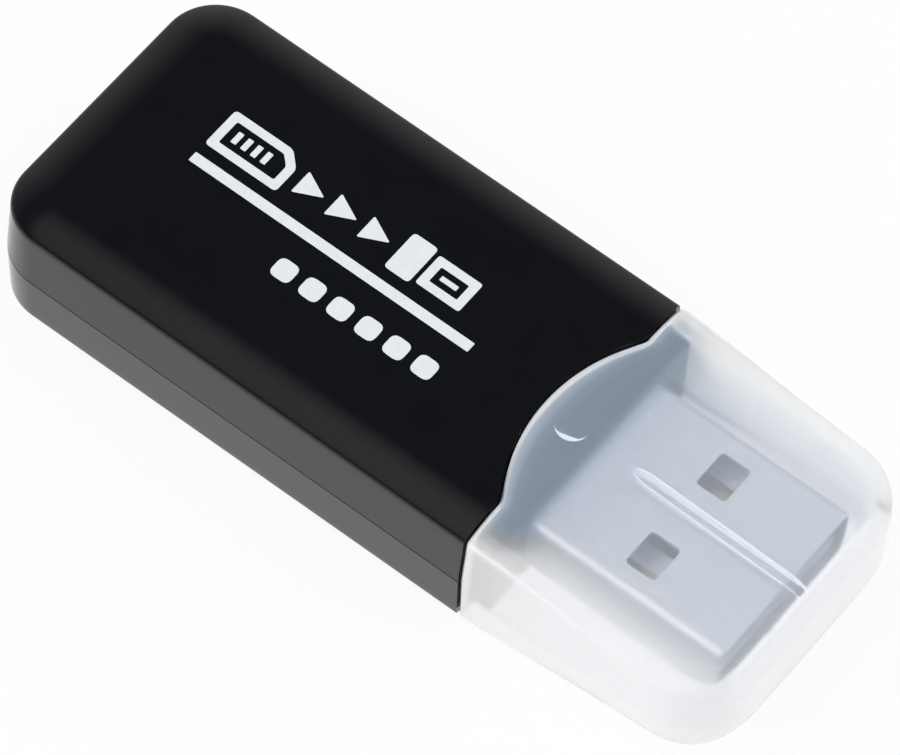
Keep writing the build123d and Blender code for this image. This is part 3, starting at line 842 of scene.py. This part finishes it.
def cap_surface(sizes, housing, inside):
    """Whole outside or inside of the cap, each row a closed loop, with clear and frost as more columns.

    The upper half is mirrored downwards. Inside, the columns next to the middle are drawn in to
    the guide rib's width, from its point forwards, and lowered to just over the plug.
    """
    x, y, z, close, milk = cap_half(sizes, housing, inside)
    halves = []
    for side in (1, -1):
        rise, across = z.copy(), y.copy()
        if inside:
            point = shoulder_x(housing) + sizes.rib_start
            half_rib = sizes.rib_half_width * np.clip((x - point) / sizes.rib_nose, RIB_POINT, 1.0)
            plug_z = PLUG_HIGH.z if side > 0 else PLUG_LOW.z
            rib_z = abs(plug_z - HALF_HEIGHT) + sizes.rib_gap
            shown = step(point, point + sizes.rib_nose / 2, x)
            for column, beside in ((-4, sizes.rib_flank), (-3, 0.0), (-2, -sizes.rib_flank)):
                place = np.maximum(half_rib[:, column] + beside, 0.0)
                across[:, column] = np.where(close[:, 0] == 1, place, across[:, column])
            down = rise + shown * (np.minimum(rib_z, rise) - rise)
            rise[:, -3:] = down[:, -3:]
            milk[:, -4:-2] = np.maximum(milk, shown * close)[:, -4:-2]
        halves.append((across * close, side * rise * close))
    (upper_y, upper_z), (lower_y, lower_z) = halves
    loop_y, loop_z = looped(upper_y, lower_y, -1), looped(upper_z, lower_z)
    loop = np.stack((looped(x, x), loop_y, HALF_HEIGHT + loop_z), axis=-1)
    return np.concatenate((loop, cap_looks(sizes, loop, looped(milk, milk), inside)), axis=-1)


def looped(upper, lower, sign=1):
    """Closed rows from half ones: the upper half with its mirror image, times sign, then the lower half's."""
    return np.hstack((sign * upper, upper[:, -2::-1], lower[:, 1:], sign * lower[:, -2:0:-1]))


def cap_looks(sizes, loop, milk, inside):
    """Clear and frost at each point of the cap's outside or inside, as two columns.

    Clear goes from the upright walls' share to the level walls' share with the surface's level,
    and from there to the edges' share with the milk. Frost is full on level walls and fades to
    nothing at the side walls and the front; past the neck its band is narrower and it is weaker.
    """
    level = levelness(loop)
    x, beside = loop[..., 0], np.abs(loop[..., 1])
    edge = HALF_WIDTH - sizes.side_wall
    narrow = step(NECK_FRONT_X, NECK_FRONT_X + FROST_NARROWS, x)
    weak = step(NECK_FRONT_X, NECK_FRONT_X + FROST_DROPS, x)
    fade_end = edge + FROST_END - FROST_END_BACK * narrow
    over_wall = step(fade_end - FROST_FADE - FROST_FADE_MORE * narrow, fade_end, beside)
    over_front = step(FRONT_X - FROST_FRONT[0], FRONT_X - FROST_FRONT[1], x)
    frost = level * (1 - over_wall) * (1 - over_front) * (1 - FROST_LOSS * weak)
    if inside:
        base = sizes.clear_flank + (sizes.clear_inside - sizes.clear_flank) * level
        frost = -frost * (1 - milk / 2)
    else:
        base = sizes.clear_upright + (sizes.clear_outside - sizes.clear_upright) * level
        over_rim = step(edge + RIM_START - RIM_WIDER * narrow, edge + RIM_FULL, beside) * level
        milk = np.maximum(milk, sizes.rim_milk * over_rim)
        frost = frost * (1 - milk)
    clear = base + (sizes.clear_edge - base) * milk
    return np.stack((clear, frost), axis=-1)


def levelness(loop):
    """How level the surface lies at each point of a grid: 1 on top and underside, 0 on upright walls.

    It is the upright share of the normal, the cross product of the steps along rows and columns.
    """
    down = np.gradient(loop, axis=0)
    across = np.roll(loop, -1, axis=1) - np.roll(loop, 1, axis=1)
    normal = np.cross(down, across)
    long = np.maximum(np.linalg.norm(normal, axis=-1), TINY)
    return np.abs(normal[..., 2]) / long


def painted_glint_crescent(housing, ceiling):
    """Points and faces of the milky crescent along the front of the detent in the ceiling, a painted
    highlight that stands in for the glint on the bump.

    Its outer line is an arc; its width is a squared cosine over that arc.
    """
    along = np.linspace(-1.0, 1.0, CRESCENT_COLUMNS)
    around = CRESCENT_MIDDLE + CRESCENT_HALF * along
    width = housing.painted_glint_width * np.cos(along * math.pi / 2) ** 2 + CRESCENT_TIP
    middle = np.array((NECK_FRONT_X - housing.detent_setback, 0.0))
    reach = housing.detent_radius + CRESCENT_GAP
    outer = middle + ring(reach, around)
    inner = middle + ring(1.0, around) * (reach - width)[:, None]
    strip = np.concatenate((outer, inner))
    upper = np.column_stack((strip, np.full(len(strip), ceiling + CRESCENT_SUNK)))
    lower = upper - (0.0, 0.0, CRESCENT_THICK)
    return thick_sheet(upper, lower, net(2, len(along)).reshape(-1, 4))


def rounded(corners, radius, steps=5):
    """Closed outline through these corners, each rounded by an arc that touches both its sides.

    The arc is taken as a quadratic curve from side to side with the corner as its pull.
    """
    corners = np.asarray(corners, dtype=float)
    back = np.roll(corners, 1, axis=0) - corners
    ahead = np.roll(corners, -1, axis=0) - corners
    back *= radius / np.linalg.norm(back, axis=1, keepdims=True)
    ahead *= radius / np.linalg.norm(ahead, axis=1, keepdims=True)
    t = np.linspace(0.0, 1.0, steps)[None, :, None]
    arcs = corners[:, None] + back[:, None] * (1 - t) ** 2 + ahead[:, None] * t**2
    return arcs.reshape(-1, 2)


def plate(outline, hole, low, high):
    """Points and faces of a thin flat plate between an outline and a hole with as many points.

    A hole drawn together in one point leaves no hole.
    """
    flat = np.concatenate((outline, hole))
    upper = np.column_stack((flat, np.full(len(flat), high)))
    lower = np.column_stack((flat, np.full(len(flat), low)))
    faces = net(2, len(outline), wrap=True).reshape(-1, 4)
    return thick_sheet(upper, lower, faces)


def solid(outline):
    """Outline with its hole drawn together in its middle."""
    return outline, np.repeat(outline.mean(axis=0, keepdims=True), len(outline), axis=0)


def box(x, y, long, wide):
    """Corners of a rectangle about its middle."""
    a, b = long / 2, wide / 2
    return ((x - a, y - b), (x + a, y - b), (x + a, y + b), (x - a, y + b))


def cut_box(x, y, long, wide, cut):
    """Corners of a rectangle about its middle, with one front corner cut off."""
    a, b = long / 2, wide / 2
    return ((x - a, y - b), (x + a, y - b), (x + a, y + b - cut), (x + a - cut, y + b), (x - a, y + b))


def block(x, y, long, wide, radius):
    """Solid rectangle with rounded corners."""
    return solid(rounded(box(x, y, long, wide), radius))


def arrow(x, y, size):
    """Solid arrow head that points forwards."""
    a = size / 2
    return solid(rounded(((x - a, y - a), (x + a, y), (x - a, y + a)), size / 12))


def card_sign(x, y, sizes):
    """Outline of a small card with one cut corner, and its contacts in a row."""
    line, cut = sizes.stroke, sizes.sign_wide / 3
    inner_long, inner_wide = sizes.sign_long - 2 * line, sizes.sign_wide - 2 * line
    outer = cut_box(x, y, sizes.sign_long, sizes.sign_wide, cut)
    inner = cut_box(x, y, inner_long, inner_wide, cut - 0.6 * line)
    first, pitch, wide = 1.2 * line, 1.25 * line, 0.65 * line
    places = x - inner_long / 2 + first + pitch * np.arange(CARD_CONTACTS)
    contacts = [block(place, y, wide, inner_wide / 2, 0.1 * line) for place in places]
    return [(rounded(outer, line / 2), rounded(inner, line / 4)), *contacts]


def plug_sign(x, y, sizes):
    """Solid grip, and in front of it the outline of a flat plug round its tongue."""
    line = sizes.stroke
    grip = 0.34 * sizes.sign_long
    shell_long = sizes.sign_long - grip - line / 2
    shell_wide = 0.8 * sizes.sign_wide
    rear, front = x - sizes.sign_long / 2, x + sizes.sign_long / 2
    middle = front - shell_long / 2
    outer = box(middle, y, shell_long, shell_wide)
    inner = box(middle, y, shell_long - 2 * line, shell_wide - 2 * line)
    tongue_long, tongue_wide = shell_long - 3.4 * line, 0.6 * line
    tongue = block(middle, y, tongue_long, tongue_wide, 0.1 * line)
    shell_line = (rounded(outer, line / 3), rounded(inner, line / 6))
    return [block(rear + grip / 2, y, grip, sizes.sign_wide, line / 2), shell_line, tongue]


class READER_OT_housing(bpy.types.Operator):
    """Builds the two glossy housing shells over their CAD nodes"""

    bl_idname = "reader.housing"
    bl_label = "Housing shells"

    def execute(self, context):
        scene = context.scene
        material = black_abs(scene.reader_colours.housing)
        for name, side in (("top_shell", 1), ("bottom_shell", -1)):
            points, faces = shell(scene.reader_housing, side, scene.reader_print)
            piece = add_piece(f"{name}_skin", points, faces, "reader", material)
            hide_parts(name)
        return {"FINISHED"}


class READER_OT_cap(bpy.types.Operator):
    """Builds the frosted cap over its CAD node"""

    bl_idname = "reader.cap"
    bl_label = "Frosted cap"

    def execute(self, context):
        scene = context.scene
        outer = cap_surface(scene.reader_cap, scene.reader_housing, False)
        inner = cap_surface(scene.reader_cap, scene.reader_housing, True)
        faces = net(*outer.shape[:2], wrap=True).reshape(-1, 4)
        points, faces = thick_sheet(outer.reshape(-1, 5), inner.reshape(-1, 5), faces)
        colours = scene.reader_colours
        material = frosted_polypropylene(colours.cap, colours.cap_through, colours.cap_thick)
        piece = add_piece("cap_skin", points, faces, "cap", material)
        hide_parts("cap")
        # the milky crescent over the front of the detent is a painted highlight, standing in for a glint on
        # the bump
        points, faces = painted_glint_crescent(scene.reader_housing, HEIGHT - scene.reader_cap.face_wall)
        looks = np.tile((scene.reader_cap.clear_painted_glint, 0.0), (len(points), 1))
        add_piece("cap_dimple", np.hstack((points, looks)), faces, "cap", material)
        return {"FINISHED"}


class READER_OT_inner_parts(bpy.types.Operator):
    """Gives the plug and every part inside its own finish"""

    bl_idname = "reader.inner_parts"
    bl_label = "Plug and inner parts"

    def execute(self, context):
        made = {"plug_steel": nickel_steel(context.scene.reader_colours.steel)}
        for slot, (name, shade, light, grain, rough, constants) in INNER_FINISHES.items():
            made[slot] = finish(name, linear(shade), linear(light), grain * MM, rough, **constants)
        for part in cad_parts.values():
            for place in part.material_slots:
                place.material = made.get(place.material.name, place.material)
        return {"FINISHED"}


class READER_OT_print(bpy.types.Operator):
    """Prints a white line with plain signs for card, arrows and plug, and a row of dots"""

    bl_idname = "reader.print"
    bl_label = "Top print"

    def execute(self, context):
        scene = context.scene
        sizes = scene.reader_print
        line_x = (sizes.line_start + sizes.line_end) / 2
        shapes = [block(line_x, 0.0, sizes.line_end - sizes.line_start, sizes.line_width, LINE_CORNER)]
        shapes += card_sign(sizes.card, sizes.row, sizes)
        shapes += plug_sign(sizes.plug, sizes.row, sizes)
        arrows = (sizes.card + sizes.plug) / 2 + sizes.arrow_pitch * np.arange(-1, 2)
        shapes += [arrow(place, sizes.row, sizes.arrow) for place in arrows]
        dots = sizes.first_dot + sizes.dot_pitch * np.arange(DOTS)
        shapes += [block(place, sizes.dot_row, sizes.dot, sizes.dot, sizes.dot / 3) for place in dots]
        points, faces, count = [], [], 0
        for outline, hole in shapes:
            some, net_of_some = plate(outline, hole, HEIGHT - 2 * sizes.ink, HEIGHT)
            points.append(some)
            faces.append(net_of_some + count)
            count += len(some)
        material = white_ink(scene.reader_colours.print)
        add_piece(
            "top_print", np.concatenate(points), np.concatenate(faces), "reader", material
        )
        return {"FINISHED"}


class READER_OT_studio(bpy.types.Operator):
    """Sets up the camera, the pale floor and the soft light"""

    bl_idname = "reader.studio"
    bl_label = "Studio"

    def execute(self, context):
        scene = context.scene
        place_camera(scene, scene.reader_studio)
        lay_floor(scene)
        hang_lamps(scene, scene.reader_studio)
        light_world(scene)
        scene.view_settings.view_transform = "Standard"
        return {"FINISHED"}


def place_camera(scene, studio):
    """Camera at the given angles and distance from its aim, rolled about its line of sight."""
    az, el, roll = studio.azimuth, studio.elevation, studio.roll
    back = Vector((math.sin(az) * math.cos(el), -math.cos(az) * math.cos(el), math.sin(el)))
    level = Vector((math.cos(az), math.sin(az), 0.0))
    upright = back.cross(level)
    right = math.cos(roll) * level + math.sin(roll) * upright
    up = math.cos(roll) * upright - math.sin(roll) * level
    lens = bpy.data.cameras.new("camera")
    lens.lens = studio.lens
    lens.clip_start, lens.clip_end = LENS_LIMITS
    camera = bpy.data.objects.new("camera", lens)
    turn = Matrix((right, up, back)).transposed().to_4x4()
    camera.matrix_world = Matrix.Translation(Vector(studio.aim) + studio.distance * back) @ turn
    scene.collection.objects.link(camera)
    scene.camera = camera


def lay_floor(scene):
    """Flat grid just under the object."""
    edge = np.linspace(-FLOOR_REACH, FLOOR_REACH, FLOOR_POINTS)
    x, y = np.meshgrid(edge, edge)
    ground = bpy.data.meshes.new("floor")
    points = np.column_stack((x.ravel(), y.ravel(), np.full(x.size, -FLOOR_DROP)))
    ground.from_pydata(points.tolist(), [], net(FLOOR_POINTS, FLOOR_POINTS).reshape(-1, 4).tolist())
    ground.materials.append(studio_floor(scene.reader_colours.floor))
    floor = bpy.data.objects.new("floor", ground)
    scene.collection.objects.link(floor)


def hang_lamps(scene, studio):
    """Round soft lamps that face the object and don't show in its gloss."""
    for name, place, width, power in LAMPS:
        lamp = bpy.data.lights.new(name, "AREA")
        lamp.shape = "DISK"
        lamp.size = width
        lamp.energy = getattr(studio, power)
        holder = bpy.data.objects.new(name, lamp)
        holder.location = place
        holder.rotation_euler = Vector(place).to_track_quat("Z", "Y").to_euler()
        holder.visible_glossy = False
        scene.collection.objects.link(holder)


def seen_directly(tree):
    """1 for camera, glossy and transmitted rays, 0 for rays that carry light."""
    path = node(tree, "ShaderNodeLightPath").outputs
    seen = path["Is Camera Ray"]
    for ray in ("Is Glossy Ray", "Is Transmission Ray"):
        seen = node(tree, "ShaderNodeMath", {0: seen, 1: path[ray]}, operation="MAXIMUM").outputs[0]
    return seen


def studio_floor(tint):
    """Matt seamless paper that shows mostly white and keeps a soft shadow."""
    made = bpy.data.materials.new("paper_seamless")
    made.use_nodes = True
    tree = made.node_tree
    tree.nodes.clear()
    matt = node(tree, "ShaderNodeBsdfDiffuse", {"Color": (*tint, 1.0)})
    glow = node(tree, "ShaderNodeEmission", {"Color": (1.0, 1.0, 1.0, 1.0)})
    white = node(tree, "ShaderNodeMath", {0: seen_directly(tree), 1: FLOOR_GLOW}, operation="MULTIPLY")
    both = node(
        tree, "ShaderNodeMixShader", {0: white.outputs[0], 1: matt.outputs[0], 2: glow.outputs[0]}
    )
    node(tree, "ShaderNodeOutputMaterial", {"Surface": both.outputs[0]})
    return made


def light_world(scene):
    """Room that is white near the floor, dark higher up and bright right overhead.

    The camera sees it plain white, and so, for the most part, does what looks through the cap.
    """
    world = bpy.data.worlds.new("room")
    world.use_nodes = True
    tree = world.node_tree
    tree.nodes.clear()
    direction = node(tree, "ShaderNodeTexCoord").outputs["Generated"]
    height = node(tree, "ShaderNodeSeparateXYZ", {"Vector": direction}).outputs["Z"]
    ramp = node(tree, "ShaderNodeValToRGB", {"Fac": height})
    for place, _ in ROOM_LEVELS[1:-1]:
        ramp.color_ramp.elements.new(place)
    for element, (place, value) in zip(ramp.color_ramp.elements, ROOM_LEVELS):
        element.position = place
        element.color = (value, value, value, 1.0)
    path = node(tree, "ShaderNodeLightPath").outputs
    through = {0: path["Is Transmission Ray"], 1: ROOM_THROUGH_CAP}
    passed = node(tree, "ShaderNodeMath", through, operation="MULTIPLY")
    straight = node(
        tree,
        "ShaderNodeMath",
        {0: path["Is Camera Ray"], 1: passed.outputs[0]},
        operation="MAXIMUM",
    )
    shade = node(tree, "ShaderNodeBackground", {"Color": ramp.outputs["Color"]})
    white = node(tree, "ShaderNodeBackground", {"Color": (1.0, 1.0, 1.0, 1.0)})
    both = node(
        tree, "ShaderNodeMixShader", {0: straight.outputs[0], 1: shade.outputs[0], 2: white.outputs[0]}
    )
    node(tree, "ShaderNodeOutputWorld", {"Surface": both.outputs[0]})
    scene.world = world


class READER_PT_panel(bpy.types.Panel):
    """Lists the steps that build the reader"""

    bl_idname = "READER_PT_panel"
    bl_label = "Memory card reader"
    bl_space_type = "VIEW_3D"
    bl_region_type = "UI"
    bl_category = "Card reader"

    def draw(self, context):
        for kind in OPERATORS:
            self.layout.operator(kind.bl_idname)
        for name in GROUPS:
            group = getattr(context.scene, name)
            for key in group.__annotations__:
                self.layout.prop(group, key)


GROUPS = {
    "reader_housing": HousingSizes,
    "reader_cap": CapSizes,
    "reader_print": PrintSizes,
    "reader_colours": ReaderColours,
    "reader_studio": StudioSettings,
}
OPERATORS = (
    READER_OT_studio,
    READER_OT_housing,
    READER_OT_cap,
    READER_OT_inner_parts,
    READER_OT_print,
)


def register():
    """Registers the classes and hangs the settings on the scene."""
    for kind in (*GROUPS.values(), *OPERATORS, READER_PT_panel):
        bpy.utils.register_class(kind)
    for name, kind in GROUPS.items():
        setattr(bpy.types.Scene, name, PointerProperty(type=kind))


def unregister():
    """Takes the settings and the classes out again."""
    for name in GROUPS:
        delattr(bpy.types.Scene, name)
    for kind in (READER_PT_panel, *OPERATORS, *GROUPS.values()):
        bpy.utils.unregister_class(kind)


def main():
    """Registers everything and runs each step."""
    register()
    bpy.ops.reader.studio()
    bpy.ops.reader.housing()
    bpy.ops.reader.cap()
    bpy.ops.reader.inner_parts()
    bpy.ops.reader.print()


if __name__ == "__main__":
    main()
